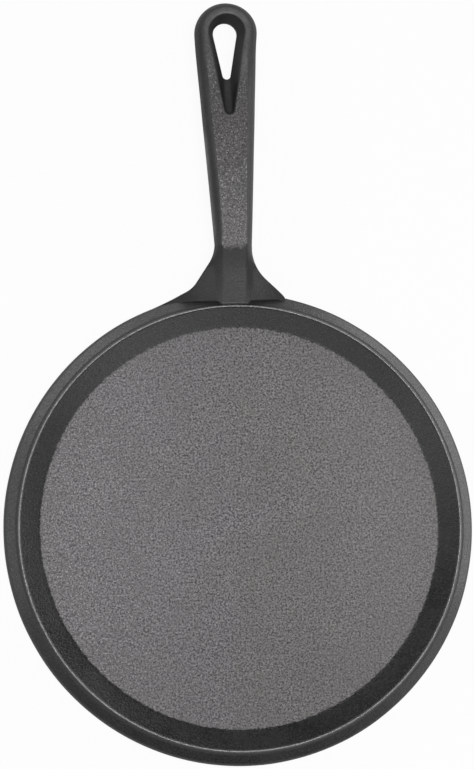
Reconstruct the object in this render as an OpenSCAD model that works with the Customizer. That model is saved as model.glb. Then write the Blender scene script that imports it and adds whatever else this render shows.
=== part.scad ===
// Cast-iron comal: a round flat griddle with a low sloped wall and one long handle.
// The pan stands on the XY plane with its centre at the origin, and the handle runs along +Y.

/* [Pan] */
// Overall diameter of the pan at its widest line
pan_d = 267; // [240:1:300]
// Plan width of the outer side, from the crest of the rim to the widest line
rim_w = 8.6; // [7.5:0.1:10]
// Plan width of the sloped inner wall
wall_w = 11.9; // [9:0.1:14]
// Thickness of the cooking floor
floor_t = 4.6; // [4.2:0.1:7]
// Height of the wall above the cooking floor
wall_h = 6.2; // [5:0.1:7.5]
// Width of the narrow rounded crest on top of the wall
crest_w = 1.8; // [1.2:0.1:2.4]
// Fall of the rounded crest from its middle to each side
crest_fall = 0.35; // [0.2:0.05:0.5]
// Height of the small step from the crest down to the outer side
crest_step = 1.1; // [0.7:0.1:1.6]
// Plan width of that step
step_w = 0.6; // [0.3:0.1:1]
// Height of the widest line above the table
edge_z = 2.2; // [1.6:0.1:3]
// Height of the steep strip between the widest line and the sloped outer side
edge_strip_h = 3.6; // [2.6:0.1:4.2]
// Distance in from the widest line to the top of that strip
edge_strip_w = 1; // [0.6:0.1:1.4]
// Chamfer of the bottom edge
base_chamfer = 1.3; // [0.6:0.1:1.5]
// Draft between the bottom chamfer and the widest line
base_draft = 0.2; // [0.1:0.05:0.4]

/* [Handle] */
// Distance from the edge of the pan to the tip of the handle
handle_reach = 167.7; // [150:0.1:180]
// Width of the handle at its narrow neck
neck_w = 21.6; // [20:0.1:24]
// Width of the handle across its rounded end
end_w = 36.5; // [33:0.1:40]
// Thickness of the handle
handle_t = 9; // [8:0.1:10]
// Distance from the edge of the pan to the bend above the root
bend_out = 25; // [22:0.5:30]
// Upward slope of the root, in degrees
root_slope = 16; // [12:0.5:18]
// Angle through which the grip arches over, in degrees
grip_arch = 2; // [1:0.5:6]
// Distance from the outline in to the flat top of the handle
strip_inset = 4.2; // [3.8:0.1:5]
// Depth of the bevel beside the flat top
bevel_drop = 2.4; // [1.8:0.1:2.8]
// Distance from the outline in to the lower edge of that bevel
side_inset = 1.7; // [1.2:0.1:2]
// Depth of the widest line of the handle below its top
side_drop = 6.2; // [5.5:0.1:7]
// Distance from the outline in to the flat underside
belly_inset = 2; // [1.2:0.1:2.6]

/* [Root] */
// Radius of the flare between the handle and the edge of the pan
flare_r = 37; // [31:0.5:43]
// Width of the raised strip along the middle of the root
strip_w = 14.2; // [13:0.1:15]
// Plan width of the bevel on each side of that strip
strip_bevel = 2.1; // [1.5:0.1:2.6]
// Gap between the crest and the end of the raised strip
strip_gap = 1.6; // [1.3:0.1:2.4]
// Gap between the crest and the ends of the two webs
web_gap = 2; // [1.6:0.1:3]
// Height of the end of the strip above the crest
strip_lift = 0.8; // [0.2:0.1:1.5]
// Depth of the webs below the raised strip
web_drop = 1.4; // [1:0.1:2]
// Thickness of the webs
web_t = 4.6; // [4:0.1:5.5]
// Sideways fall of the webs, in degrees
web_tilt = 12; // [8:0.5:15]

/* [Hanging hole] */
// Length of the rounded end that carries the hole
loop_len = 72; // [70.5:0.5:78]
// Width of the teardrop hole at its round end
hole_w = 13.8; // [12:0.1:16]
// Length of the teardrop hole
hole_len = 33.5; // [30:0.5:38]
// Width of the teardrop hole at its narrow end
hole_tip_w = 4.7; // [3:0.1:5]
// Metal left between the hole and the tip of the handle
hole_wall = 11.7; // [10:0.1:13]
// Width of the bevelled recess round the hole
recess_w = 20.8; // [18.5:0.1:23]
// Length of the recess with its groove
recess_len = 59.5; // [52:0.5:60]
// Width of the groove at its end
recess_tip_w = 5.6; // [5:0.1:7]
// Metal left between the recess and the tip of the handle
recess_wall = 7.8; // [7:0.1:9]
// Depth of the recess
recess_depth = 6; // [4:0.1:7]

/* [Hidden] */
$fn = 96;

pan_r = pan_d / 2;
crest_r = pan_r - rim_w;
floor_r = crest_r - wall_w;
crest_z = floor_t + wall_h;
crest_half = crest_w / 2;

// Top line of the handle: a straight rise to the bend, then an arch, then a straight end
bend_y = pan_r + bend_out;
strip_end_y = crest_r + strip_gap;
web_end_y = crest_r + web_gap;
bend_z = crest_z + strip_lift + (bend_y - strip_end_y) * tan(root_slope);
half_arch = grip_arch / 2;
grip_run = pan_r + handle_reach - loop_len * cos(half_arch) - bend_y;
arch_r = grip_run / (2 * sin(half_arch));
grip_steps = 14;

// Half widths of the handle grow evenly from the neck to the rounded end
neck_half = neck_w / 2;
end_half = end_w / 2;
cap_u = loop_len - end_half;
loop_half = neck_half + (end_half - neck_half) * grip_run / (grip_run + cap_u);
cap_tilt = asin(end_half / norm([loop_half, cap_u])) - atan(loop_half / cap_u);
cap_steps = 40;
tip_steps = 12;

// Each level of the handle's section: distance in from the outline, depth below the top
SECTION = [[strip_inset, 0], [side_inset, bevel_drop], [0, side_drop], [belly_inset, handle_t]];

// The raised strip of the root, with a bevel on each side down to the webs
strip_half = strip_w / 2;
rib_half = strip_half + strip_bevel;
web_floor_z = edge_z;

// Centre of the flare's circle, tangent to the side of the neck and to the edge of the pan
flare_x = neck_half + flare_r;
flare_y = sqrt(pow(pan_r + flare_r, 2) - flare_x * flare_x);
flare_touch = [flare_x, flare_y] * pan_r / (pan_r + flare_r);

// Iron as the photo shows it: a lighter pebbled face, darker smooth sides
face_grey = [0.36, 0.36, 0.36];
side_grey = [0.2, 0.2, 0.2];
big = 400;

// Half profile of the sloped wall: base, crest and inner slope
module wall_profile() {
    polygon([[floor_r, 0], [crest_r, 0], [crest_r, crest_z],
             [crest_r - crest_half, crest_z - crest_fall], [floor_r, floor_t]]);
}

// Half profile of the rim: crest, small step, sloped outer side and chamfered base
module rim_profile() {
    polygon([[crest_r, 0], [pan_r - base_draft - base_chamfer, 0], [pan_r - base_draft, base_chamfer],
             [pan_r, edge_z], [pan_r - edge_strip_w, edge_z + edge_strip_h],
             [crest_r + crest_half + step_w, crest_z - crest_step],
             [crest_r + crest_half, crest_z - crest_fall], [crest_r, crest_z]]);
}

// Everything past the bend, which belongs to the grip
module past_bend() {
    translate([0, bend_y, bend_z]) rotate([half_arch, 0, 0]) translate([-big / 2, 0, -big / 2]) cube(big);
}

// Everything on the pan's side of the line y = limit
module before(limit) {
    translate([-big / 2, limit - big, -big / 2]) cube(big);
}

// Plan of the right-hand web, between the strip, the flare and its own straight end
module web_plan() {
    touch_slope = flare_touch[0] / flare_touch[1];
    difference() {
        polygon([[rib_half, web_end_y], [touch_slope * web_end_y, web_end_y], [flare_x, flare_y],
                 [rib_half, flare_y]]);
        translate([flare_x, flare_y]) circle(r = flare_r);
    }
}

module right_web_solid() {
    difference() {
        intersection() {
            translate([0, 0, web_floor_z]) linear_extrude(bend_z) web_plan();
            translate([rib_half, bend_y, bend_z - web_drop / cos(root_slope)])
                rotate([root_slope, 0, 0]) rotate([0, web_tilt, 0])
                    translate([-big / 2, -big / 2, -web_t]) cube([big, big, web_t]);
        }
        past_bend();
        rotate_extrude() rim_profile();
    }
}

// Point on the top line of the grip: angle of the arch, height and distance along Y
function arch_angle(t) = half_arch - grip_arch * t;
function arch_point(t) = [bend_y + arch_r * (sin(half_arch) - sin(arch_angle(t))),
                          bend_z + arch_r * (cos(arch_angle(t)) - cos(half_arch))];

// One closed section of the grip, square to its top line
function grip_section(t) =
    let (a = arch_angle(t), p = arch_point(t), half = neck_half + (loop_half - neck_half) * t)
    [for (side = [1, -1]) for (i = [0 : 3])
        let (level = SECTION[side > 0 ? i : 3 - i])
        [side * (half - level[0]), p[0] + level[1] * sin(a), p[1] - level[1] * cos(a)]];

// Points of an arc about a centre on the handle's middle line, in the frame of the rounded end
function arc(u, r, depth, from, to, steps) =
    [for (i = [0 : steps])
        let (a = from + (to - from) * i / steps)
        [r * cos(a), u + r * sin(a), -depth]];

// One level of the rounded end: its outline moved in by inset, at a depth below the top
function loop_outline(inset, depth) =
    let (foot = loop_half - inset / cos(cap_tilt))
    concat(arc(cap_u, end_half - inset, depth, -cap_tilt, 180 + cap_tilt, cap_steps),
           [for (i = [0 : tip_steps]) [foot * (2 * i / tip_steps - 1), 0, -depth]]);

// Teardrop at a depth below the top, from a round end near the tip to a narrow end near the grip
function teardrop(width, tip_width, length, end_wall, depth) =
    let (r = width / 2, tip_r = tip_width / 2,
         top_u = loop_len - end_wall - r, tip_u = loop_len - end_wall - length + tip_r,
         g = asin((r - tip_r) / (top_u - tip_u)))
    concat(arc(top_u, r, depth, -g, 180 + g, cap_steps),
           arc(tip_u, tip_r, depth, 180 + g, 360 - g, tip_steps));

function hole_outline(depth) = teardrop(hole_w, hole_tip_w, hole_len, hole_wall, depth);
function recess_outline() = teardrop(recess_w, recess_tip_w, recess_len, recess_wall, 0);

// Closed solid through rings with the same number of points: its two ends are capped,
// or with ring = true its last ring joins its first
module loft(rings, ring = false) {
    n = len(rings[0]);
    count = len(rings);
    walls = [for (k = [0 : count - (ring ? 1 : 2)]) for (i = [0 : n - 1])
        let (j = (i + 1) % n, low = k * n, high = (k + 1) % count * n)
        each [[low + i, low + j, high + j], [low + i, high + j, high + i]]];
    caps = [[for (i = [n - 1 : -1 : 0]) i], [for (i = [0 : n - 1]) (count - 1) * n + i]];
    polyhedron([for (points = rings) each points], ring ? walls : concat(walls, caps));
}

// Moves the rounded end's own frame, with its top at z = 0, to the end of the arch
module at_loop() {
    end = arch_point(1);
    translate([0, end[0], end[1]]) rotate([-half_arch, 0, 0]) children();
}

module cooking_floor() {
    color(face_grey) cylinder(h = floor_t, r = floor_r);
}

module sloped_wall() {
    color(side_grey) rotate_extrude() wall_profile();
}

module rim() {
    color(side_grey) rotate_extrude() rim_profile();
}

module root_rib() {
    overrun = 4;
    color(side_grey) difference() {
        translate([0, bend_y, bend_z]) rotate([root_slope, 0, 0]) translate([0, overrun, 0])
            rotate([90, 0, 0]) linear_extrude(bend_y - crest_r + overrun)
                polygon([[-rib_half, -handle_t], [rib_half, -handle_t], [rib_half, -web_drop],
                         [strip_half, 0], [-strip_half, 0], [-rib_half, -web_drop]]);
        past_bend();
        before(strip_end_y);
        rotate_extrude() rim_profile();
    }
}

module right_web() {
    color(side_grey) right_web_solid();
}

module left_web() {
    color(side_grey) mirror([1, 0, 0]) right_web_solid();
}

module handle_grip() {
    color(face_grey) loft([for (k = [0 : grip_steps]) grip_section(k / grip_steps)]);
}

module hanging_loop() {
    outside = [for (level = SECTION) loop_outline(level[0], level[1])];
    inside = [hole_outline(handle_t), hole_outline(recess_depth), recess_outline()];
    color(face_grey) at_loop() loft(concat(outside, inside), ring = true);
}

cooking_floor();
sloped_wall();
rim();
root_rib();
left_web();
right_web();
handle_grip();
hanging_loop();
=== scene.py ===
"""Dresses the comal: one iron casting with a pebbled floor and grip, smooth sides and a worn crest, with
painted highlights, painted light and painted shade on its edges, in its creases and in its recess.
"""
import math

import bmesh
import bpy
from mathutils import Matrix, Vector, noise


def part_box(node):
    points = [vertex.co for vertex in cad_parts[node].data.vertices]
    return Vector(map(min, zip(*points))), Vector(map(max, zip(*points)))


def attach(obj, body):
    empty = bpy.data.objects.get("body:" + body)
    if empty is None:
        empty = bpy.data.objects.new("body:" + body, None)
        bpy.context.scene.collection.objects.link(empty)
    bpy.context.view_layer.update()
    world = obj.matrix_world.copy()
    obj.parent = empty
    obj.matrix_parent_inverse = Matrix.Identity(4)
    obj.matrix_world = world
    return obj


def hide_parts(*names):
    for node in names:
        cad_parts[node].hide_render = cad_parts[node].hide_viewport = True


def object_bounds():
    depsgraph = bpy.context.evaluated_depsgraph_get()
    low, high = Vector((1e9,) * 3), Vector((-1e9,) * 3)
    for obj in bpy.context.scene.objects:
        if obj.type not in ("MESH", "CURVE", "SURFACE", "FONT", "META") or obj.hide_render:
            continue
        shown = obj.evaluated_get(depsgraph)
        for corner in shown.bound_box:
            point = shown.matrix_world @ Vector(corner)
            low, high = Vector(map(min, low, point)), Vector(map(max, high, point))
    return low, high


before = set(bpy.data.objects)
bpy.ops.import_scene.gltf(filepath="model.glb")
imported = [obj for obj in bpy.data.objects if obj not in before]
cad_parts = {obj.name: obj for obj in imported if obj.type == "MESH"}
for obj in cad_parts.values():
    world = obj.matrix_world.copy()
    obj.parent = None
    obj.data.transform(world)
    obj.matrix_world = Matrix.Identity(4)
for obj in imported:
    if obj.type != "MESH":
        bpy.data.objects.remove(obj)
cad_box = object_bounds()

# Units: lengths are in millimetres until a vertex is made, and those of the lamps and floor in metres
MM = 0.001

# Pan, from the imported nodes
FLOOR_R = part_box("cooking_floor")[1].x / MM
FLOOR_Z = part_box("cooking_floor")[1].z / MM
CREST_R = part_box("sloped_wall")[1].x / MM
CREST_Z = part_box("sloped_wall")[1].z / MM
PAN_R = -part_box("rim")[0].x / MM
CREST_HALF = 0.9
CREST_FALL = 0.35
STEP_W = 0.6
STEP_H = 1.1
EDGE_Z = 2.2
EDGE_STRIP_H = 3.6
EDGE_STRIP_W = 1.0
BASE_CHAMFER = 1.3
BASE_DRAFT = 0.2
SPIN_STEPS = 240
FLOOR_RINGS = 22

# Top line of the handle: a straight rise to the bend, a very slight arch, a straight end
STRIP_END_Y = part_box("root_rib")[0].y / MM
WEB_END_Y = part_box("right_web")[0].y / MM
STRIP_LIFT = 0.8
ROOT_SLOPE = math.radians(16)
HALF_ARCH = math.radians(1)
BEND_REACH = 25
BEND_Y = PAN_R + BEND_REACH
BEND_Z = CREST_Z + STRIP_LIFT + (BEND_Y - STRIP_END_Y) * math.tan(ROOT_SLOPE)
BEND_SOFTNESS = 0.35
LOOP_LEN = 72
HANDLE_REACH = 167.7
TIP_Y = PAN_R + HANDLE_REACH
LOOP_Y = TIP_Y - LOOP_LEN * math.cos(HALF_ARCH)
ARCH_R = (LOOP_Y - BEND_Y) / (2 * math.sin(HALF_ARCH))

# Widths and section of the handle
NECK_HALF = 10.8
END_HALF = 18.25
CAP_U = LOOP_LEN - END_HALF
LOOP_HALF = NECK_HALF + (END_HALF - NECK_HALF) * (LOOP_Y - BEND_Y) / (LOOP_Y - BEND_Y + CAP_U)
CAP_TILT = math.asin(END_HALF / math.hypot(LOOP_HALF, CAP_U)) - math.atan(LOOP_HALF / CAP_U)
HANDLE_T = 9
NECK_INSET = 3.6
LOOP_INSET = 4.8
BEVEL_DROP = 2.4
SIDE_INSET = 1.5
SIDE_TOP = 5.4
SIDE_FOOT = 6.8
SIDE_DRAFT = 0.2
BELLY_INSET = 2.4
GRIP_STEPS = 56

# The left bevel of the grip is wider, apart from this share of the grip's length at each end
LEFT_BEVEL = 0.7
LEFT_BEVEL_FADE = 0.15

# A point less deep than this belongs to the flat top
FLAT_DEPTH = 0.05

# Root: its raised strip, which lies a little to the right until close to the bend
STRIP_HALF = NECK_HALF - NECK_INSET
STRIP_EDGE_IN = 0.5
STRIP_FOOT = 1.4
STRIP_OFFSET = 0.3
STRIP_OFFSET_OVER = 0.4
RIB_SIDE = 2.1
RIB_HALF = STRIP_HALF + RIB_SIDE

# Its webs lie lower than the strip, and fall away from it more and more steeply
WEB_DROP = 1.4
WEB_END_DROP = 0.6
WEB_DROP_OVER = 20
WEB_FALL = 0.13
WEB_CURL = 0.003
WEB_SHARES = (0.35, 0.7)
WEB_T = 4.6
WEB_FLOOR_Z = 1.6
LEAST_WEB_W = 1.5
LEAST_WEB_EDGE = 1.2

# The webs' tips sink into the rim, and their ends bow, less and less towards the bend
TIP_SINK = 1.4
TIP_SINK_OVER = (22, 36)
WEB_BOW = 0.0014
WEB_BOW_TO = 30
WEB_BOW_FADE = 4

# The root's section turns into the grip's over this length, and its steps grow towards the bend
ROOT_BLEND = 16
ROOT_STEPS = 30
STEP_GROWTH = 1.3

# Outlines of the two flares, as corners: half width, distance out along the handle, rounding
FLARE_TOP_Y = BEND_Y + 12
RIGHT_FLARE = ((NECK_HALF, FLARE_TOP_Y, 0), (NECK_HALF, 146.4, 10), (29.4, 129.8, 1.2), (33.0, 124.0, 0))
LEFT_FLARE = ((NECK_HALF, FLARE_TOP_Y, 0), (NECK_HALF, 154.0, 6), (24.1, 134.5, 4.5), (48.0, 124.5, 0))

# Hanging hole and its recess: width, width of the narrow end, length, metal to the tip
HOLE = (13.8, 4.7, 33.5, 11.7)
RECESS = (21.5, 5.6, 59.5, 7.8)
RECESS_DEPTH = 6
RECESS_OFFSET = 0.1

# The round cap leans a little to the right of the handle's middle line
CAP_LEAN = 0.9
CAP_LEAN_FROM = 43
CAP_LEAN_TO = 70

# Camera: distance, offsets and leans that place the pan and the handle as the picture does
VIEW_DISTANCE = 1102.56
VIEW_ACROSS = 1.975
VIEW_UP = -80.5
LEAN_BACK = math.radians(-6.512)
LEAN_SIDE = math.radians(7.359)
VIEW_ROLL = math.radians(1.337)
FOCAL_PX = 1946.2
PICTURE_H_PX = 769
SENSOR = 36


# A rounded corner takes no more than this share of the lines beside it
CORNER_SHARE = 0.48


def softened(corners, steps=4):
    """Turns (x, z, setback) corners into a line whose corners are rounded over their setback."""
    line = []
    last = len(corners) - 1
    for i, (x, z, setback) in enumerate(corners):
        here = Vector((x, z))
        if setback == 0 or i in (0, last):
            line.append(here)
            continue
        before = Vector(corners[i - 1][:2]) - here
        after = Vector(corners[i + 1][:2]) - here
        a = here + before.normalized() * min(setback, CORNER_SHARE * before.length)
        b = here + after.normalized() * min(setback, CORNER_SHARE * after.length)
        for k in range(steps + 1):
            t = k / steps
            line.append(a * (1 - t) ** 2 + here * 2 * t * (1 - t) + b * t * t)
    return line


def smooth_step(low, high, value):
    """Rises smoothly from 0 at low to 1 at high."""
    t = min(max((value - low) / (high - low), 0), 1)
    return t * t * (3 - 2 * t)


# Casting: every vertex is moved a little, by where it is, so neighbours still meet
UNEVEN = 0.09
UNEVEN_SIZE = 21
UNEVEN_SEED = 5
noise.seed_set(UNEVEN_SEED)


def cast_uneven(bm):
    """Gives a shape the slight unevenness of a sand casting, inside the box of the CAD model."""
    low, high = cad_box
    for vert in bm.verts:
        wander = noise.noise_vector(vert.co / (UNEVEN_SIZE * MM)) * UNEVEN * MM
        spot = vert.co + wander
        for axis in range(3):
            spot[axis] = min(max(spot[axis], low[axis]), high[axis])
        vert.co = spot


# Vertices this close, in metres, are one, and edges that turn more than this angle stay sharp
MERGE_DIST = 1e-7
SHARP_ANGLE = math.radians(38)


def finish_piece(bm, name, node, material):
    """Makes the object of a finished shape, lets it ride on the casting and stand for its CAD node."""
    bmesh.ops.remove_doubles(bm, verts=bm.verts, dist=MERGE_DIST)
    bmesh.ops.recalc_face_normals(bm, faces=bm.faces)
    cast_uneven(bm)
    mesh = bpy.data.meshes.new(name)
    bm.to_mesh(mesh)
    bm.free()
    mesh.shade_smooth()
    mesh.set_sharp_from_angle(angle=SHARP_ANGLE)
    piece = bpy.data.objects.new(name, mesh)
    bpy.context.scene.collection.objects.link(piece)
    mesh.materials.append(material)
    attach(piece, "root")
    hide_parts(node)


# What the iron reads from its vertices: pebbled face; paler wear, painted highlights and painted light;
# painted shade in creases and on faces turned from the light, and a darker strip before the bend
FINISH_AND_LIGHT = ("pebble", "wear_and_sheen", "shade_and_darkening")


def set_finish_and_light(layers, vert, amounts):
    """Writes a vertex's amount of each finish, of painted light and of painted shade."""
    for layer, amount in zip(layers, amounts):
        vert[layer] = amount


def spun_shape(line, finish_and_light, closed):
    """Spins a half profile of (r, z) points about the pan's middle."""
    bm = bmesh.new()
    layers = [bm.verts.layers.float.new(name) for name in FINISH_AND_LIGHT]
    verts = []
    for r, z in line:
        vert = bm.verts.new((r * MM, 0, z * MM))
        set_finish_and_light(layers, vert, finish_and_light(r, z))
        verts.append(vert)
    for a, b in zip(verts, verts[1:]):
        bm.edges.new((a, b))
    if closed:
        bm.edges.new((verts[-1], verts[0]))
    bmesh.ops.spin(bm, geom=bm.verts[:] + bm.edges[:], cent=(0, 0, 0), axis=(0, 0, 1), dvec=(0, 0, 0),
                   angle=math.tau, steps=SPIN_STEPS, use_merge=True)
    return bm


def ring_edges(bm, ring):
    """Edges between the neighbours of a closed ring of vertices."""
    return [bm.edges.get((a, b)) for a, b in zip(ring, ring[1:] + ring[:1])]


# Decimals by which an extruded vertex is found where the old one is
SAME_PLACE = 9


def carry_on(bm, ring, points):
    """Extrudes a ring of vertices and moves each new one to its own point."""
    made = bmesh.ops.extrude_edge_only(bm, edges=ring_edges(bm, ring))["geom"]
    fresh = {v.co.to_tuple(SAME_PLACE): v for v in made if isinstance(v, bmesh.types.BMVert)}
    new_ring = [fresh[v.co.to_tuple(SAME_PLACE)] for v in ring]
    for vert, point in zip(new_ring, points):
        vert.co = point
    return new_ring


def lofted_shape(rings, tones, joined):
    """Runs a skin through rings of points: ends filled, or the last ring joined to the first."""
    bm = bmesh.new()
    layers = [bm.verts.layers.float.new(name) for name in FINISH_AND_LIGHT]
    first = [bm.verts.new(p) for p in rings[0]]
    for a, b in zip(first, first[1:] + first[:1]):
        bm.edges.new((a, b))
    ring = first
    made = [first]
    follow = rings[1:] + ([rings[0]] if joined else [])
    for points in follow:
        ring = carry_on(bm, ring, points)
        made.append(ring)
    for ring_verts, ring_tones in zip(made, tones + tones[:1]):
        for vert, amounts in zip(ring_verts, ring_tones):
            set_finish_and_light(layers, vert, amounts)
    if not joined:
        bmesh.ops.edgeloop_fill(bm, edges=ring_edges(bm, made[0]))
        bmesh.ops.edgeloop_fill(bm, edges=ring_edges(bm, made[-1]))
    return bm


# Pan


# Half width of the ragged line where the pebbled face ends
RAGGED = 0.7


def pebble_at(r):
    """Amount of pebbling at a radius: all on the floor, half at its edge, none up the wall."""
    return 1 - smooth_step(FLOOR_R - RAGGED, FLOOR_R + RAGGED, r)


# Section of the crest: its shoulder, as shares of its half width and fall, and the drop of its edge
SHOULDER_OUT = 0.45
SHOULDER_FALL = 0.12
CREST_EDGE_DROP = 0.15
CREST_EDGE_Z = CREST_Z - CREST_FALL - CREST_EDGE_DROP

# Corner of the wall's eased foot: how far out it lies and how far up the slope, in half widths as above
WALL_FOOT_OUT = 2
WALL_FOOT_RISE = 1.5

# The rim's sloped outer side begins this far out and down from the groove, with points on its way
BAND_OUT = 0.9
BAND_DROP = 0.5
BAND_POINTS = 4

# The steep strip at the edge lies this far in at half its height
EDGE_BELLY = 0.3

# The crest is worn, with a painted highlight, from the first of these depths below its top up to the second
CREST_SHEEN_DEPTHS = (0.24, 0.03)

# Painted shade in the groove beside the crest and on the steep strip at the edge, and how it fades
GROOVE_SHADE = 0.75
GROOVE_FADE = (0.2, 0.7)
GROOVE_DEPTH = 0.6
EDGE_SHADE = 0.85
EDGE_FADE = (0.5, 0.1)

# Painted shade in the crease on the rim in front of the webs, and where it begins and ends on each side
ROOT_SHADE = 0.95
ROOT_SHADE_BEGIN = (STRIP_HALF - 1, RIB_HALF)
ROOT_SHADE_END = (22, 33)
CREASE_FADE = (0.6, 0.7)


def crest_wear_and_highlight(z):
    """Wear along the top of the crest, with a painted highlight."""
    low, high = CREST_SHEEN_DEPTHS
    return smooth_step(CREST_Z - low, CREST_Z - high, z)


def make_floor(material):
    """Flat round floor, with a pebbled face."""
    line = [Vector((0, 0)), Vector((FLOOR_R, 0)), Vector((FLOOR_R, FLOOR_Z))]
    inner = FLOOR_R - RAGGED
    for i in range(FLOOR_RINGS):
        line.append(Vector((inner * (1 - i / FLOOR_RINGS), FLOOR_Z)))
    line.append(Vector((0, FLOOR_Z)))

    def finish_and_light(r, z):
        return pebble_at(r) if z > 0 else 0.0, 0.0, 0.0

    bm = spun_shape(line, finish_and_light, False)
    finish_piece(bm, "cooking_floor_face", "cooking_floor", material)


def make_wall(material):
    """Sloped inner wall, from the floor up to the middle of the crest."""
    rise = (CREST_Z - FLOOR_Z) / (CREST_R - FLOOR_R)
    corners = [
        (FLOOR_R, 0, 0),
        (CREST_R, 0, 0),
        (CREST_R, CREST_Z, 0),
        (CREST_R - SHOULDER_OUT * CREST_HALF, CREST_Z - SHOULDER_FALL * CREST_FALL, 0.3),
        (CREST_R - CREST_HALF, CREST_EDGE_Z, 0.5),
        (FLOOR_R + WALL_FOOT_OUT * RAGGED, FLOOR_Z + WALL_FOOT_RISE * RAGGED * rise, 0.8),
        (FLOOR_R, FLOOR_Z, 0),
    ]

    def finish_and_light(r, z):
        return pebble_at(r) if z > 0 else 0.0, crest_wear_and_highlight(z), 0.0

    bm = spun_shape(softened(corners), finish_and_light, True)
    finish_piece(bm, "sloped_wall_ring", "sloped_wall", material)


def make_rim(material):
    """Rim from the middle of the crest, over a small step, down the sloped outer side to the base."""
    groove_r = CREST_R + CREST_HALF + STEP_W
    groove_z = CREST_Z - STEP_H
    strip_r = PAN_R - EDGE_STRIP_W
    strip_z = EDGE_Z + EDGE_STRIP_H
    band_r = groove_r + BAND_OUT
    band_z = groove_z - BAND_DROP
    band = []
    for i in range(1, BAND_POINTS + 1):
        share = i / (BAND_POINTS + 1)
        band.append((band_r + (strip_r - band_r) * share, band_z + (strip_z - band_z) * share, 0))
    corners = [
        (CREST_R, CREST_Z, 0),
        (CREST_R + SHOULDER_OUT * CREST_HALF, CREST_Z - SHOULDER_FALL * CREST_FALL, 0.3),
        (CREST_R + CREST_HALF, CREST_EDGE_Z, 0.3),
        (groove_r, groove_z, 0.35),
        (band_r, band_z, 0.4),
        *band,
        (strip_r, strip_z, 0.35),
        (PAN_R - EDGE_BELLY, EDGE_Z + EDGE_STRIP_H / 2, 0.5),
        (PAN_R, EDGE_Z, 0.6),
        (PAN_R - BASE_DRAFT, BASE_CHAMFER, 0.4),
        (PAN_R - BASE_DRAFT - BASE_CHAMFER, 0, 0.6),
        (CREST_R, 0, 0),
    ]

    def finish_and_light(r, z):
        # Painted shade in the groove beside the crest and on the steep strip at the edge
        in_groove = GROOVE_SHADE * (1 - smooth_step(*GROOVE_FADE, abs(r - groove_r)))
        if z < groove_z - GROOVE_DEPTH:
            in_groove = 0.0
        low_edge = EDGE_SHADE * smooth_step(strip_r - EDGE_FADE[0], strip_r + EDGE_FADE[1], r)
        return 0.0, crest_wear_and_highlight(z), max(in_groove, low_edge * float(z < groove_z))

    bm = spun_shape(softened(corners), finish_and_light, True)
    layer = bm.verts.layers.float["shade_and_darkening"]
    # Painted shade in the crease on the rim in front of the webs
    for vert in bm.verts:
        r = math.hypot(vert.co.x, vert.co.y) / MM
        if vert.co.y > 0 and r > CREST_R + CREST_HALF:
            aside = abs(vert.co.x) / MM
            at_web = smooth_step(*ROOT_SHADE_BEGIN, aside) * (1 - smooth_step(*ROOT_SHADE_END, aside))
            in_crease = smooth_step(band_r - CREASE_FADE[0], band_r + CREASE_FADE[1], r)
            vert[layer] = max(vert[layer], ROOT_SHADE * at_web * in_crease)
    finish_piece(bm, "rim_ring", "rim", material)


# Handle


def top_height(y):
    """Height of the handle's middle line: the root's rise and the grip's arch, eased at the bend."""
    rise = BEND_Z + (y - BEND_Y) * math.tan(ROOT_SLOPE)
    lean = math.sin(HALF_ARCH) - (min(y, LOOP_Y) - BEND_Y) / ARCH_R
    arch = BEND_Z + ARCH_R * (math.sqrt(1 - lean * lean) - math.cos(HALF_ARCH))
    arch -= max(y - LOOP_Y, 0) * math.tan(HALF_ARCH)
    return (rise + arch - math.hypot(rise - arch, BEND_SOFTNESS)) / 2


def section_lean(y):
    """Lean of the handle's section at y: upright in the root, square to the arch past the bend."""
    if y < BEND_Y:
        return HALF_ARCH * smooth_step(BEND_Y - ROOT_BLEND, BEND_Y, y)
    return math.asin(math.sin(HALF_ARCH) - (min(y, LOOP_Y) - BEND_Y) / ARCH_R)


def handle_point(y, x, depth):
    """Point of the handle's section at y: x across, depth below the top line."""
    lean = section_lean(y)
    place = Vector((x, y + depth * math.sin(lean), top_height(y) - depth * math.cos(lean)))
    return place * MM


# Steps round each corner of a flare, and the least height that a slope is divided by
FLARE_STEPS = 12
TINY = 1e-6


def flare_half(flare, y):
    """Half width of the root's outline at y, along one flare."""
    line = softened(flare, FLARE_STEPS)
    for a, b in zip(line, line[1:]):
        if b.y <= y <= a.y:
            return a.x + (b.x - a.x) * (a.y - y) / max(a.y - b.y, TINY)
    return line[-1].x


def grip_corners(half, inset, side_inset=SIDE_INSET):
    """Right half of the grip's section, from the middle of its top to the middle of its underside."""
    return [
        (0, 0, 0),
        (half - inset, 0, 0.9),
        (half - side_inset, BEVEL_DROP, 1.4),
        (half, SIDE_TOP, 1.2),
        (half - SIDE_DRAFT, SIDE_FOOT, 0.8),
        (half - BELLY_INSET, HANDLE_T, 1.2),
        (0, HANDLE_T, 0),
    ]


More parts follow.
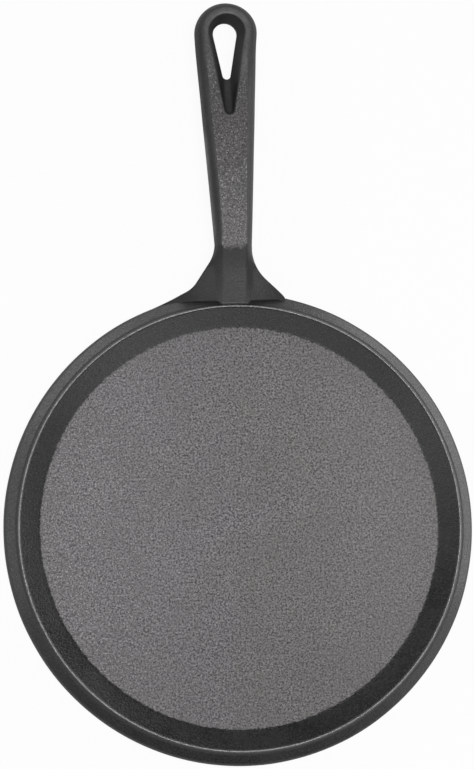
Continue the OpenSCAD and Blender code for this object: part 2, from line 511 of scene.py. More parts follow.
def root_corners(flare, y):
    """Half of the root's section: raised strip, its bevel, the curved web and the underside."""
    half = max(flare_half(flare, y), RIB_HALF + LEAST_WEB_W)
    room = top_height(y) - WEB_FLOOR_Z
    drop = WEB_END_DROP + (WEB_DROP - WEB_END_DROP) * smooth_step(WEB_END_Y, WEB_END_Y + WEB_DROP_OVER, y)
    foot_x = RIB_HALF + STRIP_FOOT

    def fall(share):
        out = (half - foot_x) * share
        sink = TIP_SINK * smooth_step(*TIP_SINK_OVER, foot_x + out)
        return drop + WEB_FALL * out + WEB_CURL * out * out + sink

    foot = min(fall(1) + WEB_T, room)
    edge = min(fall(1), foot - LEAST_WEB_EDGE)
    corners = [(0, 0, 0), (STRIP_HALF - STRIP_EDGE_IN, 0, 1.3), (foot_x, drop, 1.2)]
    for share in WEB_SHARES:
        corners.append((foot_x + (half - foot_x) * share, min(fall(share), edge), 1.5))
    return corners + [
        (half, edge, 1.0),
        (half - SIDE_DRAFT, foot, 0.8),
        (RIB_HALF, min(HANDLE_T, room), 1.2),
        (0, min(HANDLE_T, room), 0),
    ]


def neck_corners(half):
    """The grip's section near the neck, with as many corners as the root's."""
    corners = grip_corners(half, half - STRIP_HALF)
    bevel, side = Vector(corners[2]), Vector(corners[3])
    extra = [tuple(bevel.lerp(side, share)) for share in WEB_SHARES]
    return corners[:3] + extra + corners[3:]


def blended(a, b, t):
    """Corners part way from a to b."""
    return [tuple(p + (q - p) * t for p, q in zip(c, d)) for c, d in zip(a, b)]


def whole_ring(right_line, left_line):
    """Closes two half sections into a ring, the left one mirrored."""
    return right_line + [Vector((-p[0], p[1])) for p in reversed(left_line[1:-1])]


# Light wear on the edges of the flat top, and painted light on the left side of the grip, with the depths
# they fade over
EDGE_RUB = 0.35
EDGE_RUB_IN = (0.0, 0.15)
EDGE_RUB_OUT = (0.3, 0.8)
LEFT_SIDE_LIGHT = 0.8
LEFT_SIDE_LIGHT_OUT = (6.8, 7.6)


def edge_rub(depth):
    """Light wear on the edges of the flat top."""
    return EDGE_RUB * smooth_step(*EDGE_RUB_IN, depth) * (1 - smooth_step(*EDGE_RUB_OUT, depth))


def left_side_light(x, depth):
    """Painted light on the left side of the grip, most at its edge."""
    if x >= 0:
        return 0.0
    return LEFT_SIDE_LIGHT * smooth_step(BEVEL_DROP, SIDE_TOP, depth) * (1 - smooth_step(*LEFT_SIDE_LIGHT_OUT, depth))


def split_top(line, parts=5):
    """Adds points across the flat top, between the middle and its edge."""
    middle, edge = line[0], line[1]
    extra = [middle + (edge - middle) * k / parts for k in range(1, parts)]
    return [middle] + extra + line[1:]


def root_ring(y):
    """Ring of the root at y, as section points."""
    t = smooth_step(BEND_Y - ROOT_BLEND, BEND_Y, y)
    halves = []
    for flare in (RIGHT_FLARE, LEFT_FLARE):
        corners = blended(root_corners(flare, y), neck_corners(flare_half(flare, y)), t)
        halves.append(split_top(softened(corners)))
    return whole_ring(*halves)


# The pebbling of the grip begins over this length, from a little before the bend
PEBBLE_FROM = -6.5
PEBBLE_TO = 3

# Painted shade on the left web, at the foot of the strip and at the webs' ends, and a darker strip top
# before the bend
LEFT_WEB_SHADE = 0.22
FOOT_SHADE = 0.12
FOOT_IN = 0.3
FOOT_FADE = (0.2, 1.8)
BEND_DARKENING = 0.25
BEND_DARKENING_OVER = (18, 7)
END_SHADE = 0.95

# Painted light on the right web, and painted highlights on the ends of the strip and the webs
RIGHT_WEB_LIGHT = 0.03
STRIP_END_HIGHLIGHT = 0.95
WEB_END_HIGHLIGHT = 0.25
STRIP_SIDE = 0.6

# Ends of the root: the strip's ramp, the webs' slant, and tips that run further into the rim
STRIP_RAMP = 0.8
STRIP_END_DROP = 1.4
WEB_SLANT = 1.0
WEB_END_FALL = 2.2
TIP_RUN_IN = 2.5
TIP_OVER = (24, 36)


def root_finish_and_light(k, x, y, depth):
    """Pebbling, painted light and highlights, painted shade and darkening of a point in ring k of the root.
    """
    on_web = smooth_step(STRIP_HALF - STRIP_SIDE, RIB_HALF, abs(x))
    on_top = float(depth < FLAT_DEPTH)
    pebble = on_top * smooth_step(PEBBLE_FROM, PEBBLE_TO, y - BEND_Y)
    # Painted light on the right web
    wear_and_sheen_amount = RIGHT_WEB_LIGHT * on_web if x > 0 else 0.0
    # Darker strip top before the bend
    shade_and_darkening = on_top * BEND_DARKENING * smooth_step(BEND_Y - BEND_DARKENING_OVER[0], BEND_Y - BEND_DARKENING_OVER[1], y)
    # Painted shade on the left web and at the strip's foot
    if x < 0:
        at_foot = 1 - smooth_step(*FOOT_FADE, abs(abs(x) - RIB_HALF + FOOT_IN))
        shade_and_darkening = max(shade_and_darkening, FOOT_SHADE * at_foot, LEFT_WEB_SHADE * on_web)
    shaded = on_web * (1 - smooth_step(*ROOT_SHADE_END, abs(x)))
    # Ring 0: painted highlight on the strip's end, painted shade at the webs' ends
    if k == 0:
        wear_and_sheen_amount = STRIP_END_HIGHLIGHT * (1 - on_web)
        shade_and_darkening = END_SHADE * shaded
    # Ring 1: painted highlights on the ends of the strip and the webs
    if k == 1:
        wear_and_sheen_amount = STRIP_END_HIGHLIGHT * (1 - on_web) + WEB_END_HIGHLIGHT * shaded
        shade_and_darkening = 0.0
    return pebble, wear_and_sheen_amount, shade_and_darkening


def root_stations(steps):
    """Pairs of y along the strip and along the webs: their sloping ends, then steps that grow."""
    yield STRIP_END_Y - STRIP_RAMP, WEB_END_Y
    strip_y = STRIP_END_Y
    web_y = WEB_END_Y + WEB_SLANT
    for k in range(steps + 1):
        t = (k / steps) ** STEP_GROWTH
        yield strip_y + (BEND_Y - strip_y) * t, web_y + (BEND_Y - web_y) * t


def root_point(strip_y, web_y, x, depth):
    """Point of the root: the strip and the webs keep their own y, and the webs' ends bow."""
    out = smooth_step(STRIP_HALF, RIB_HALF, abs(x))
    to_bend = min((BEND_Y - web_y) / (BEND_Y - WEB_END_Y), 1)
    bow = WEB_BOW * min(abs(x), WEB_BOW_TO) ** 2 * to_bend ** WEB_BOW_FADE
    bow *= 1 - smooth_step(*TIP_OVER, abs(x))
    aside = STRIP_OFFSET * (1 - out) * smooth_step(0, STRIP_OFFSET_OVER, to_bend)
    return handle_point(strip_y + (web_y + bow - strip_y) * out, x + aside, depth)


def make_root(material):
    """Root of the handle: its skin runs from the pan to the bend, then is cut along the strip's foot."""
    rings = []
    tones = []
    for k, (strip_y, web_y) in enumerate(root_stations(ROOT_STEPS)):
        section = root_ring(web_y if k else web_y - TIP_RUN_IN)
        foot = max(p[1] for p in section)
        ring = []
        for x, depth in section:
            on_web = smooth_step(STRIP_HALF, RIB_HALF, abs(x))
            at_tip = smooth_step(*TIP_OVER, abs(x))
            drop = 0.0
            end_y = web_y
            if k == 0:
                drop = (STRIP_END_DROP + (WEB_END_FALL - STRIP_END_DROP) * on_web) * (1 - at_tip)
                end_y -= TIP_RUN_IN * at_tip
            ring.append(root_point(strip_y, end_y, x, depth + drop * (1 - depth / foot)))
        rings.append(ring)
        tones.append([root_finish_and_light(k, p[0], strip_y, p[1]) for p in section])
    whole = lofted_shape(rings, tones, False)
    bmesh.ops.recalc_face_normals(whole, faces=whole.faces)
    cuts = [
        ("root_strip", "root_rib", [(RIB_HALF, 1), (-RIB_HALF, -1)]),
        ("left_root_web", "left_web", [(-RIB_HALF, 1)]),
        ("right_root_web", "right_web", [(RIB_HALF, -1)]),
    ]
    for name, node, planes in cuts:
        bm = whole.copy()
        for x, keep_side in planes:
            made = bmesh.ops.bisect_plane(bm, geom=bm.verts[:] + bm.edges[:] + bm.faces[:], dist=MERGE_DIST,
                                          plane_co=(x * MM, 0, 0), plane_no=(keep_side, 0, 0),
                                          clear_outer=True)
            cut = [e for e in made["geom_cut"] if isinstance(e, bmesh.types.BMEdge)]
            bmesh.ops.holes_fill(bm, edges=cut)
        finish_piece(bm, name, node, material)
    whole.free()


def make_grip(material):
    """Tapered, nearly straight grip with a flat pebbled top and bevelled sides."""
    rings = []
    tones = []
    for k in range(GRIP_STEPS + 1):
        t = k / GRIP_STEPS
        y = BEND_Y + (LOOP_Y - BEND_Y) * t
        half = NECK_HALF + (LOOP_HALF - NECK_HALF) * t
        inset = NECK_INSET + (LOOP_INSET - NECK_INSET) * t
        inside = smooth_step(0, LEFT_BEVEL_FADE, t) * (1 - smooth_step(1 - LEFT_BEVEL_FADE, 1, t))
        wider = LEFT_BEVEL * inside
        right = split_top(softened(grip_corners(half, inset)))
        left = split_top(softened(grip_corners(half, inset + wider, SIDE_INSET + wider)))
        section = whole_ring(right, left)
        rings.append([handle_point(y, x, depth) for x, depth in section])
        begun = smooth_step(PEBBLE_FROM, PEBBLE_TO, y - BEND_Y)
        ring_tones = []
        for x, depth in section:
            # Wear on the top's edges, painted light on the left side
            wear_and_sheen_amount = max(edge_rub(depth), inside * left_side_light(x, depth))
            ring_tones.append((begun * float(depth < FLAT_DEPTH), wear_and_sheen_amount, 0.0))
        tones.append(ring_tones)
    bm = lofted_shape(rings, tones, False)
    finish_piece(bm, "grip", "handle_grip", material)


def loop_point(x, u, depth):
    """Point in the frame of the rounded end: x across, u along it, depth below its top."""
    y = LOOP_Y + u * math.cos(HALF_ARCH) - depth * math.sin(HALF_ARCH)
    z = top_height(LOOP_Y) - u * math.sin(HALF_ARCH) - depth * math.cos(HALF_ARCH)
    return Vector((x, y, z)) * MM


def cap_lean(u):
    """How far the round cap has moved to the right at u."""
    return CAP_LEAN * smooth_step(CAP_LEAN_FROM, CAP_LEAN_TO, u)


# Steps of an outline of the rounded end: round the cap, along each side and across the inner end
CAP_STEPS = 44
RUN_STEPS = 10
END_STEPS = 12


def arc(u, r, start, stop, steps):
    """Points of an arc about a centre on the handle's middle line."""
    turn = (stop - start) / steps
    return [(r * math.cos(start + turn * i), u + r * math.sin(start + turn * i)) for i in range(steps + 1)]


def run(a, b, steps):
    """Points between a and b, without its ends."""
    return [(a[0] + (b[0] - a[0]) * i / steps, a[1] + (b[1] - a[1]) * i / steps) for i in range(1, steps)]


def end_outline(inset):
    """Outline of the rounded end moved in by inset: round cap, two sides and the straight inner end."""
    cap = arc(CAP_U, END_HALF - inset, -CAP_TILT, math.pi + CAP_TILT, CAP_STEPS)
    foot = LOOP_HALF - inset
    end = [(foot * (2 * i / END_STEPS - 1), 0) for i in range(END_STEPS + 1)]
    return cap + run(cap[-1], end[0], RUN_STEPS) + end + run(end[-1], cap[0], RUN_STEPS)


def teardrop(t, grow):
    """Outline between the hole (t = 0) and its recess (t = 1), moved out by grow.

    The narrow end moves out sooner than the rest, so that the groove below the hole has a flat floor.
    """
    early = 1 - (1 - t) ** 3
    width, narrow, length, wall = (a + (b - a) * t for a, b in zip(HOLE, RECESS))
    hole_foot, recess_foot = (wall_end + long for _, _, long, wall_end in (HOLE, RECESS))
    length = hole_foot + (recess_foot - hole_foot) * early - wall
    r = width / 2
    tip_r = narrow / 2
    top_u = LOOP_LEN - wall - r
    tip_u = LOOP_LEN - wall - length + tip_r
    lean = math.asin((r - tip_r) / (top_u - tip_u))
    big = arc(top_u, r + grow, -lean, math.pi + lean, CAP_STEPS)
    small = arc(tip_u, tip_r + grow, math.pi + lean, math.tau - lean, END_STEPS)
    line = big + run(big[-1], small[0], RUN_STEPS) + small + run(small[-1], big[0], RUN_STEPS)
    return [(x + RECESS_OFFSET * t, u) for x, u in line]


# Along the rounded end the pebbling fades and its flat top turns into a rounded bead
FADE_FROM = 16
FADE_TO = 44
PEBBLE_FADE_FROM = 26
PEBBLE_FADE_TO = 56

# Section of the bead: its top and its shoulder, in from the edge and down
BEAD_TOP_IN = 5.2
BEAD_DROP = 0.3
BEAD_SHOULDER_IN = 2.3
BEAD_SHOULDER_DROP = 1.7

# The bead is worn paler, with a painted highlight, towards the lip of the recess, most of all at the tip;
# its outer slope has painted shade
BEAD_WEAR_AND_SHEEN = 0.55
TIP_WEAR_AND_SHEEN = 0.5
BEAD_SHEEN_FROM = 3
BEAD_SHEEN_TO = 5.6
OUTER_SHADE = 0.3
OUTER_FADE = 1


def bead(u):
    """How far the flat top has turned into the rounded bead."""
    return smooth_step(FADE_FROM, FADE_TO, u)


def pebble_left(u):
    """How much of the grip's pebbling is left at u."""
    return 1 - smooth_step(PEBBLE_FADE_FROM, PEBBLE_FADE_TO, u)


def bead_wear_and_sheen(u, inset):
    """Wear and a painted highlight on the bead, this far in from its outer edge."""
    inner = smooth_step(BEAD_SHEEN_FROM, BEAD_SHEEN_TO, inset)
    return inner * bead(u) * (BEAD_WEAR_AND_SHEEN + TIP_WEAR_AND_SHEEN * smooth_step(CAP_U, LOOP_LEN, u))


def bead_corners(half):
    """Right half of the bead's section, with as many corners as the grip's."""
    return [
        (0, BEAD_DROP, 0),
        (half - BEAD_TOP_IN, BEAD_DROP, 1.4),
        (half - BEAD_SHOULDER_IN, BEAD_SHOULDER_DROP, 1.8),
        (half, SIDE_TOP, 1.8),
        (half - SIDE_DRAFT, SIDE_FOOT, 0.8),
        (half - BELLY_INSET, HANDLE_T, 1.2),
        (0, HANDLE_T, 0),
    ]


# Rings of the recess, from the underside up: share of the way out to its edge, growth, depth
RECESS_RINGS = (
    (0, 0.9, HANDLE_T),
    (0, 0.35, HANDLE_T - 0.25),
    (0, 0, HANDLE_T - 0.9),
    (0, 0, RECESS_DEPTH + 0.6),
    (0.03, 0, RECESS_DEPTH + 0.1),
    (0.12, 0, RECESS_DEPTH - 0.3),
    (0.3, 0, RECESS_DEPTH - 1.1),
    (0.5, 0, RECESS_DEPTH - 2.2),
    (0.68, 0, RECESS_DEPTH - 3.3),
    (0.83, 0, RECESS_DEPTH - 4.4),
    (0.93, 0, 0.85),
    (0.98, 0, 0.42),
    (1, 0.3, 0.14),
    (1, 0.9, 0),
)

# Its lip drops with the bead, less and less down to this depth, and its wear and painted highlight end
# between these
LIP_FADE = 1.2
LIP_SHEEN_OUT = (0.1, 0.5)

# Painted shade on its left and right walls: the turn from one to the other, and the depths it begins over
LEFT_WALL_SHADE = 0.95
RIGHT_WALL_SHADE = 0.5
WALL_TURN = 3
WALL_SHADE_IN = (0.3, 1.5)

# Painted light on the floor of the groove below the hole, which makes it paler, and how it fades at its
# foot, at its top and aside
GROOVE_FLOOR_LIGHT = 0.16
GROOVE_FOOT = (0.5, 4)
GROOVE_TOP = (0.5, 2)
GROOVE_SIDE = (0.6, 2.2)


def groove_floor(x, u):
    """How much a point belongs to the floor of the groove between the hole and the foot of its recess."""
    foot = LOOP_LEN - RECESS[3] - RECESS[2]
    top = LOOP_LEN - HOLE[3] - HOLE[2]
    past_foot = smooth_step(*GROOVE_FOOT, u - foot)
    below_top = 1 - smooth_step(*GROOVE_TOP, u - top)
    return past_foot * below_top * (1 - smooth_step(*GROOVE_SIDE, abs(x - RECESS_OFFSET)))


def recess_shade(x, u, depth):
    """Painted shade on the walls of the recess, most on the left, and none on the groove's floor."""
    to_right = smooth_step(-WALL_TURN, WALL_TURN, x)
    wall = LEFT_WALL_SHADE + (RIGHT_WALL_SHADE - LEFT_WALL_SHADE) * to_right
    return wall * smooth_step(*WALL_SHADE_IN, depth) * (1 - groove_floor(x, u))


# Half width at which the sections are worked out, to read how far in from the edge each point lies
WIDE = 100


def make_loop(material):
    """Rounded end of the handle, with the teardrop hole, the recess round it and the groove below."""
    flat_line = softened(grip_corners(WIDE, LOOP_INSET))[1:-1]
    bead_line = softened(bead_corners(WIDE))[1:-1]
    rings = []
    tones = []
    for flat_at, bead_at in zip(flat_line, bead_line):
        ring = []
        ring_tones = []
        inset = WIDE - bead_at.x
        for a, b in zip(end_outline(WIDE - flat_at.x), end_outline(inset)):
            turned = bead(a[1])
            x = a[0] + (b[0] - a[0]) * turned
            u = a[1] + (b[1] - a[1]) * turned
            depth = flat_at.y + (bead_at.y - flat_at.y) * turned
            ring.append(loop_point(x + cap_lean(u), u, depth))
            flat = float(flat_at.y < FLAT_DEPTH)
            # Wear on the top's edges, wear and a painted highlight on the bead
            wear_and_sheen_amount = max(edge_rub(flat_at.y) * (1 - turned), bead_wear_and_sheen(u, inset))
            # Painted shade on the bead's outer slope
            outer = bead(u) * (1 - smooth_step(BEAD_SHEEN_FROM, BEAD_SHEEN_TO - OUTER_FADE, inset))
            ring_tones.append((flat * pebble_left(u), wear_and_sheen_amount, OUTER_SHADE * outer))
        rings.append(ring)
        tones.append(ring_tones)
    for t, grow, depth in RECESS_RINGS:
        outline = teardrop(t, grow)
        lip = BEAD_DROP * (1 - smooth_step(0, LIP_FADE, depth))
        rings.append([loop_point(x + cap_lean(u) * t, u, depth + lip * bead(u)) for x, u in outline])
        flat = float(depth < FLAT_DEPTH)
        lip_wear_and_sheen = 1 - smooth_step(*LIP_SHEEN_OUT, depth)
        ring_tones = []
        for x, u in outline:
            # Wear and a painted highlight at the lip, painted light on the groove's floor
            wear_and_sheen_amount = max(lip_wear_and_sheen * bead_wear_and_sheen(u, BEAD_SHEEN_TO), GROOVE_FLOOR_LIGHT * groove_floor(x, u))
            # Painted shade on the recess walls
            ring_tones.append((flat * pebble_left(u), wear_and_sheen_amount, recess_shade(x, u, depth)))
        tones.append(ring_tones)
    bm = lofted_shape(rings, tones, True)
    finish_piece(bm, "hanging_end", "hanging_loop", material)


# Iron


# Sizes of the iron's speckles: sand, fine grain and bright specks, then lumps, patches and clouds
SAND_SIZE = 1.15
FINE_SIZE = 0.55
SPECK_SIZE = 0.9
LUMP_SIZE = 2.4
PATCH_SIZE = 30
CLOUD_SIZE = 34
HUE_SIZE = 46
SPECKLE_ROUGHNESS = 0.6

# Ranges of a speckle's value that a finish is spread over
WHOLE = (0.3, 0.7)
MIDDLE = (0.35, 0.65)
LOWER = (0.3, 0.6)
GRAINS = (0.34, 0.66)
BRIGHTEST = (0.64, 0.8)
PALEST = (0.6, 0.72)

# Share of the two grains in the pebbled face, its ragged edge and its roughness
SAND_SHARE = 0.55
FINE_SHARE = 0.45
RAGGED_BY = 0.2
RAGGED_OVER = (0.25, 0.75)
FACE_ROUGH = 0.66

# Distances from the floor's middle between which the pebbled colour changes
FAR_OUT = 100 * MM
LEFT_PALE_FROM = 60 * MM
NEAR_MIDDLE = 20 * MM

# Amounts of those changes: hue, patches, pale sides, dark front and more specks on the left
HUE_WANDER = 0.4
HUE_OVER = (0.1, 0.9)
PATCHES = 0.22
LEFT_PALE = 0.06
RIGHT_PALE = 0.12
FRONT_DARK = 0.16
LEFT_SPARKLE = 2
LEFT_SPECKS = 0.035

# Smooth iron: mottling, pale specks and their tone, and how its satin varies
MOTTLE = 0.5
PALE_SPECKS = 0.6
PALE_SPECK_TONE = 0.09
SATIN_UNDER = 0.03
SATIN_OVER = 0.04
SATIN_GRAIN = 0.06

# Painted shade and darkening, and paler wear with painted highlights and light: tone, roughness, and the
# least amount in their patches
DARKENING_TONE = 0.006
DARKENING_ROUGH = 0.9
LEAST_DARKENING = 0.8
SHEEN_AND_WEAR_TONE = 0.16
LEAST_SHEEN_AND_WEAR = 0.7

# Height and strength of the grain
RELIEF = 0.4
RELIEF_STRENGTH = 0.8

# Along the handle the grain is blurred near the neck, and its face darkens towards the end: from, to, amount
NECK_BLUR = (150, 220, 0.45)
END_DARK = (140, 250, 0.6)


def add_node(tree, kind, **values):
    """Adds a node and sets its properties and input defaults."""
    node = tree.nodes.new(kind)
    for key, value in values.items():
        if hasattr(node, key):
            setattr(node, key, value)
        else:
            node.inputs[key.replace("_", " ")].default_value = value
    return node


def speckle(tree, coords, size, detail):
    """Noise whose lumps are about size millimetres across."""
    node = add_node(tree, "ShaderNodeTexNoise", Scale=1 / (size * MM), Detail=detail,
                    Roughness=SPECKLE_ROUGHNESS)
    tree.links.new(coords.outputs["Object"], node.inputs["Vector"])
    return node.outputs["Fac"]


def spread(tree, source, low, high, to_low, to_high):
    """Maps a range of a value to another, smoothly."""
    node = add_node(tree, "ShaderNodeMapRange", interpolation_type="SMOOTHSTEP")
    values = {"From Min": low, "From Max": high, "To Min": to_low, "To Max": to_high}
    for key, value in values.items():
        node.inputs[key].default_value = value
    tree.links.new(source, node.inputs["Value"])
    return node.outputs["Result"]


def sum_of(tree, a, b, operation="ADD"):
    """Adds two values, or joins them by another operation, each a socket or a written number."""
    node = add_node(tree, "ShaderNodeMath", operation=operation)
    for socket, value in zip(node.inputs, (a, b)):
        if isinstance(value, (int, float)):
            socket.default_value = value
        else:
            tree.links.new(value, socket)
    return node.outputs["Value"]


def mix_colour(tree, factor, a, b):
    """Mixes two colours, each a socket or a written colour."""
    node = add_node(tree, "ShaderNodeMix", data_type="RGBA")
    tree.links.new(factor, node.inputs["Factor"])
    colours = [s for s in node.inputs if s.type == "RGBA"]
    for socket, value in zip(colours, (a, b)):
        if isinstance(value, tuple):
            socket.default_value = (*value, 1)
        else:
            tree.links.new(value, socket)
    return [s for s in node.outputs if s.type == "RGBA"][0]


def mix_value(tree, factor, a, b):
    """Mixes two values, each a socket or a written number."""
    node = add_node(tree, "ShaderNodeMix", data_type="FLOAT")
    tree.links.new(factor, node.inputs["Factor"])
    values = [s for s in node.inputs if s.type == "VALUE"][1:]
    for socket, value in zip(values, (a, b)):
        if isinstance(value, (int, float)):
            socket.default_value = value
        else:
            tree.links.new(value, socket)
    return [s for s in node.outputs if s.type == "VALUE"][0]


def grey(tone, red=1.0, blue=1.0):
    """A near-grey colour, tipped a little towards red or blue."""
    return (tone * red, tone, tone * blue)


def vertex_amount(tree, name):
    """Reads one finish from the vertices."""
    return add_node(tree, "ShaderNodeAttribute", attribute_name=name).outputs["Fac"]


def pebbled_colour(tree, coords, place, tone, grain, sparkle):
    """Colour of the pebbled face: dark pits, paler grains, bright specks and soft clouds.

    It is paler towards the left and right edges of the floor, darker at the front and browner on the right.
    """
    across = place.outputs["X"]
    along = place.outputs["Y"]
    rosy = grey(tone * 1.98, 1.04, 1.035)
    brown = grey(tone * 1.93, 1.045, 0.98)
    pit = grey(tone * 0.06)
    cloudy = grey(tone * 0.75, 1.02, 1.0)
    side_paler = grey(tone * 2.2, 1.02, 1.02)
    front_darker = grey(tone * 0.3, 1.03, 0.99)
    speck = grey(tone * 3.4, 1.01, 1.01)

    wander = spread(tree, speckle(tree, coords, HUE_SIZE, 3), *MIDDLE, -HUE_WANDER, HUE_WANDER)
    to_right = spread(tree, across, -FAR_OUT, FAR_OUT, 0, 1)
    warm = spread(tree, sum_of(tree, to_right, wander), *HUE_OVER, 0, 1)
    pale = mix_colour(tree, warm, rosy, brown)
    colour = mix_colour(tree, spread(tree, grain, *GRAINS, 0, 1), pit, pale)
    patches = spread(tree, speckle(tree, coords, PATCH_SIZE, 4), *MIDDLE, 0, PATCHES)
    colour = mix_colour(tree, patches, colour, cloudy)

    left_pale = spread(tree, across, -LEFT_PALE_FROM, 0, LEFT_PALE, 0)
    right_pale = spread(tree, across, NEAR_MIDDLE, FAR_OUT, 0, RIGHT_PALE)
    # Paler towards the left and right sides, darker towards the front
    colour = mix_colour(tree, sum_of(tree, left_pale, right_pale), colour, side_paler)
    colour = mix_colour(tree, spread(tree, along, -FAR_OUT, 0, FRONT_DARK, 0), colour, front_darker)

    sparkling = spread(tree, across, -FAR_OUT, -NEAR_MIDDLE, sparkle * LEFT_SPARKLE, sparkle)
    more_dots = spread(tree, across, -FAR_OUT, -NEAR_MIDDLE, LEFT_SPECKS, 0)
    dots = sum_of(tree, speckle(tree, coords, SPECK_SIZE, 0), more_dots)
    specks = sum_of(tree, spread(tree, dots, *BRIGHTEST, 0, 1), sparkling, "MULTIPLY")
    return mix_colour(tree, specks, colour, speck)


def smooth_colour(tree, cloud, lumps, fine, tone):
    """Colour of the smooth iron: dark, a little cloudy, with fine pale specks."""
    dark = grey(tone * 0.76)
    pale = grey(tone * 1.24, 1.01, 1.01)
    mottle = sum_of(tree, spread(tree, cloud, *WHOLE, 0, MOTTLE), spread(tree, lumps, *WHOLE, 0, MOTTLE))
    colour = mix_colour(tree, mottle, dark, pale)
    return mix_colour(tree, spread(tree, fine, *PALEST, 0, PALE_SPECKS), colour, grey(PALE_SPECK_TONE))


def along_handle_colour(tree, place, colour, face_tone, side_tone):
    """Colour of the handle's pebbled face: blurred near the neck and darker towards the end."""
    along = place.outputs["Y"]
    blur_from, blur_to, blur = NECK_BLUR
    blurred = spread(tree, along, blur_from * MM, blur_to * MM, blur, 0)
    colour = mix_colour(tree, blurred, colour, grey(face_tone * 0.95, 1.02, 1.0))
    dark_from, dark_to, dark = END_DARK
    # Darker towards the end of the handle
    along_handle = spread(tree, along, dark_from * MM, dark_to * MM, 0, dark)
    return mix_colour(tree, along_handle, colour, grey(side_tone))


def seasoned_iron(name, face_tone, side_tone, side_rough, shine, sparkle, sand_relief, along_handle=False):
    """Cast iron: pebbled matt grey where it is pebbled, dark satin elsewhere, paler where it is worn and
    where light is painted, darker where shade is painted.
    """
    material = bpy.data.materials.new(name)
    material.use_nodes = True
    tree = material.node_tree
    shader = tree.nodes["Principled BSDF"]
    shader.inputs["Specular IOR Level"].default_value = shine
    coords = add_node(tree, "ShaderNodeTexCoord")
    place = add_node(tree, "ShaderNodeSeparateXYZ")
    tree.links.new(coords.outputs["Object"], place.inputs[0])
    sand = speckle(tree, coords, SAND_SIZE, 2)
    fine = speckle(tree, coords, FINE_SIZE, 2)
    lumps = speckle(tree, coords, LUMP_SIZE, 3)
    cloud = speckle(tree, coords, CLOUD_SIZE, 4)

    ragged = sum_of(tree, vertex_amount(tree, "pebble"), spread(tree, lumps, *WHOLE, -RAGGED_BY, RAGGED_BY))
    face = spread(tree, ragged, *RAGGED_OVER, 0, 1)
    sand_part = sum_of(tree, sand, SAND_SHARE, "MULTIPLY")
    fine_part = sum_of(tree, fine, FINE_SHARE, "MULTIPLY")
    grain = sum_of(tree, sand_part, fine_part)
    face_colour = pebbled_colour(tree, coords, place, face_tone, grain, sparkle)
    if along_handle:
        face_colour = along_handle_colour(tree, place, face_colour, face_tone, side_tone)
    colour = mix_colour(tree, face, smooth_colour(tree, cloud, lumps, fine, side_tone), face_colour)

    # Painted shade and darkening, read from the vertices, in patches
    in_patches = spread(tree, lumps, *LOWER, LEAST_DARKENING, 1)
    darkened = sum_of(tree, vertex_amount(tree, "shade_and_darkening"), in_patches, "MULTIPLY")
    colour = mix_colour(tree, darkened, colour, grey(DARKENING_TONE))
    # Wear, painted highlights and painted light, read from the vertices, in patches
    small_patches = spread(tree, lumps, *LOWER, LEAST_SHEEN_AND_WEAR, 1)
    wear_and_sheen_patches = sum_of(tree, small_patches, spread(tree, cloud, *MIDDLE, LEAST_SHEEN_AND_WEAR, 1), "MULTIPLY")
    wear_and_sheen_amount = sum_of(tree, vertex_amount(tree, "wear_and_sheen"), wear_and_sheen_patches, "MULTIPLY")
    colour = mix_colour(tree, wear_and_sheen_amount, colour, grey(SHEEN_AND_WEAR_TONE))
    tree.links.new(colour, shader.inputs["Base Color"])

    satin = spread(tree, cloud, *WHOLE, side_rough - SATIN_UNDER, side_rough + SATIN_OVER)
    satin = sum_of(tree, satin, spread(tree, sand, *WHOLE, -SATIN_GRAIN, SATIN_GRAIN))
    satin = mix_value(tree, darkened, satin, DARKENING_ROUGH)
    tree.links.new(mix_value(tree, face, satin, FACE_ROUGH), shader.inputs["Roughness"])
    relief = mix_value(tree, face, sum_of(tree, sand, sand_relief, "MULTIPLY"), grain)
    bump = add_node(tree, "ShaderNodeBump", Strength=RELIEF_STRENGTH, Distance=RELIEF * MM)
    tree.links.new(relief, bump.inputs["Height"])
    tree.links.new(bump.outputs["Normal"], shader.inputs["Normal"])
    return material


# Stage


# Floor: half its side, its gap below the comal in millimetres, its finish and how white the camera sees it
STAGE_HALF = 60
STAGE_GAP = 0.2
STAGE_TONE = 0.86
STAGE_ROUGH = 0.9
STAGE_SHINE = 0.1
STAGE_WHITE = 0.93

# Brightness of the plain room around it
ROOM = 0.085


def pale_shader(tree, lit, whiteness):
    """Shows this much white to the camera and to reflections, and is lit as usual for everything else."""
    path = add_node(tree, "ShaderNodeLightPath")
    seen = sum_of(tree, path.outputs["Is Camera Ray"], path.outputs["Is Glossy Ray"], "MAXIMUM")
    seen = sum_of(tree, seen, path.outputs["Is Transmission Ray"], "MAXIMUM")
    white = add_node(tree, "ShaderNodeEmission")
    white.inputs["Strength"].default_value = 1
    mixed = add_node(tree, "ShaderNodeMixShader")
    tree.links.new(sum_of(tree, seen, whiteness, "MULTIPLY"), mixed.inputs["Fac"])
    tree.links.new(lit, mixed.inputs[1])
    tree.links.new(white.outputs[0], mixed.inputs[2])
    return mixed.outputs[0]


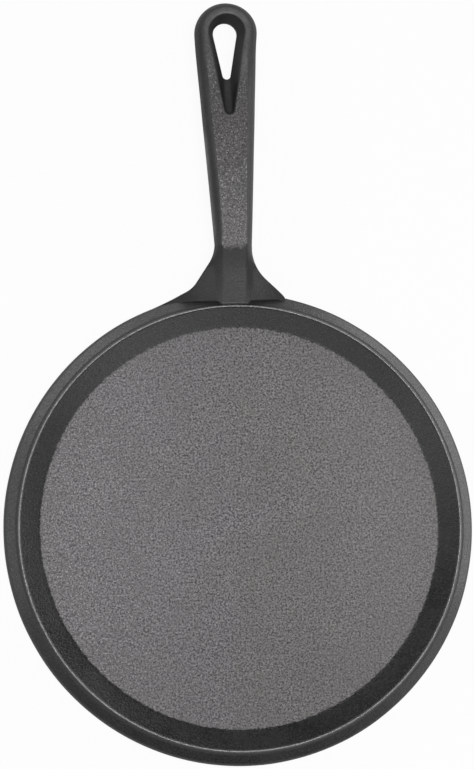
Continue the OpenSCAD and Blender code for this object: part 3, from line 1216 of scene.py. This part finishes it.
def make_stage():
    """Plain pale floor under the comal, in a plain room."""
    bm = bmesh.new()
    bmesh.ops.create_grid(bm, x_segments=1, y_segments=1, size=STAGE_HALF)
    bmesh.ops.translate(bm, verts=bm.verts, vec=(0, 0, -STAGE_GAP * MM))
    mesh = bpy.data.meshes.new("pale_floor")
    bm.to_mesh(mesh)
    bm.free()
    floor = bpy.data.objects.new("pale_floor", mesh)
    bpy.context.scene.collection.objects.link(floor)
    material = bpy.data.materials.new("pale_floor")
    material.use_nodes = True
    tree = material.node_tree
    shader = tree.nodes["Principled BSDF"]
    shader.inputs["Base Color"].default_value = (*grey(STAGE_TONE), 1)
    shader.inputs["Roughness"].default_value = STAGE_ROUGH
    shader.inputs["Specular IOR Level"].default_value = STAGE_SHINE
    output = tree.nodes["Material Output"]
    tree.links.new(pale_shader(tree, shader.outputs[0], STAGE_WHITE), output.inputs["Surface"])
    mesh.materials.append(material)

    world = bpy.data.worlds.new("soft_room")
    world.use_nodes = True
    lit = world.node_tree.nodes["Background"]
    lit.inputs["Color"].default_value = (*grey(ROOM), 1)
    bpy.context.scene.world = world


def add_softbox(name, spot, aim, width, height, power):
    """Rectangular soft light at spot, turned to aim, with its sides in metres and its power in watts."""
    lamp = bpy.data.lights.new(name, "AREA")
    lamp.shape = "RECTANGLE"
    lamp.size = width
    lamp.size_y = height
    lamp.energy = power
    holder = bpy.data.objects.new(name, lamp)
    holder.location = spot
    holder.visible_camera = False
    holder.rotation_euler = (Vector(aim) - Vector(spot)).to_track_quat("-Z", "Y").to_euler()
    bpy.context.scene.collection.objects.link(holder)


def make_lights():
    """Soft light overhead and in front, weak lamps high at the sides, and low strips beside and behind."""
    middle = (0, 0.05, 0)
    add_softbox("overhead", (0.12, 0, 1.7), middle, 0.8, 0.8, 16)
    add_softbox("front_wide", (0.3, -1.5, 1.5), middle, 3.0, 0.9, 5.6)
    add_softbox("front_right", (1.1, -1.05, 1.35), middle, 1.2, 0.8, 1.5)
    add_softbox("front_left", (-1.25, -0.8, 1.6), middle, 1.0, 0.8, 2.2)
    add_softbox("right_strip", (1.58, 0.15, 0.27), middle, 1.05, 0.5, 3.4)
    add_softbox("right_front_strip", (1.43, -0.7, 0.27), middle, 0.9, 0.5, 1.15)
    add_softbox("front_right_strip", (0.91, -1.3, 0.27), middle, 0.8, 0.5, 0.25)
    add_softbox("back_right_strip", (1.2, 1.1, 0.36), middle, 1.3, 0.5, 4.8)
    add_softbox("back_strip", (0, 1.75, 0.42), middle, 1.2, 0.5, 2.4)
    add_softbox("back_left_strip", (-1.02, 1.27, 0.55), middle, 1.2, 0.5, 3.5)
    add_softbox("right_high", (1.5, 0, 1.0), middle, 0.9, 0.6, 0.6)
    add_softbox("left_high", (-1.3, 0, 1.45), middle, 0.9, 0.6, 0.55)
    add_softbox("left_strip", (-1.59, 0.2, 0.66), middle, 1.4, 0.5, 2.6)
    add_softbox("left_front_strip", (-1.39, -0.8, 0.66), middle, 0.8, 0.5, 0.45)


def make_camera():
    """Looks down on the pan from a little to the left of its middle."""
    turn = (Matrix.Rotation(VIEW_ROLL, 3, "Z") @ Matrix.Rotation(LEAN_SIDE, 3, "Y")
            @ Matrix.Rotation(LEAN_BACK, 3, "X"))
    offset = Vector((VIEW_ACROSS, VIEW_UP, -VIEW_DISTANCE)) * MM
    data = bpy.data.cameras.new("camera")
    data.sensor_width = SENSOR
    data.lens = FOCAL_PX * SENSOR / PICTURE_H_PX
    camera = bpy.data.objects.new("camera", data)
    back = turn.transposed()
    camera.matrix_world = Matrix.Translation(-(back @ offset)) @ back.to_4x4()
    bpy.context.scene.collection.objects.link(camera)
    bpy.context.scene.camera = camera


bpy.context.scene.view_settings.view_transform = "Standard"
make_camera()
make_stage()
make_lights()
face_iron = seasoned_iron("cooking_face_iron", face_tone=0.146, side_tone=0.014, side_rough=0.42,
                          shine=0.5, sparkle=0.3, sand_relief=0.3)
# The wall's iron is a darker copy of the rim's: painted shade on the inner wall
wall_iron = seasoned_iron("wall_iron", face_tone=0.146, side_tone=0.009, side_rough=0.28,
                          shine=0.9, sparkle=0.3, sand_relief=0.65)
rim_iron = seasoned_iron("rim_iron", face_tone=0.15, side_tone=0.012, side_rough=0.29,
                         shine=1.0, sparkle=0.3, sand_relief=0.45)
handle_iron = seasoned_iron("handle_iron", face_tone=0.138, side_tone=0.015, side_rough=0.46,
                            shine=0.5, sparkle=1.5, sand_relief=0.4, along_handle=True)
make_floor(face_iron)
make_wall(wall_iron)
make_rim(rim_iron)
make_root(handle_iron)
make_grip(handle_iron)
make_loop(handle_iron)
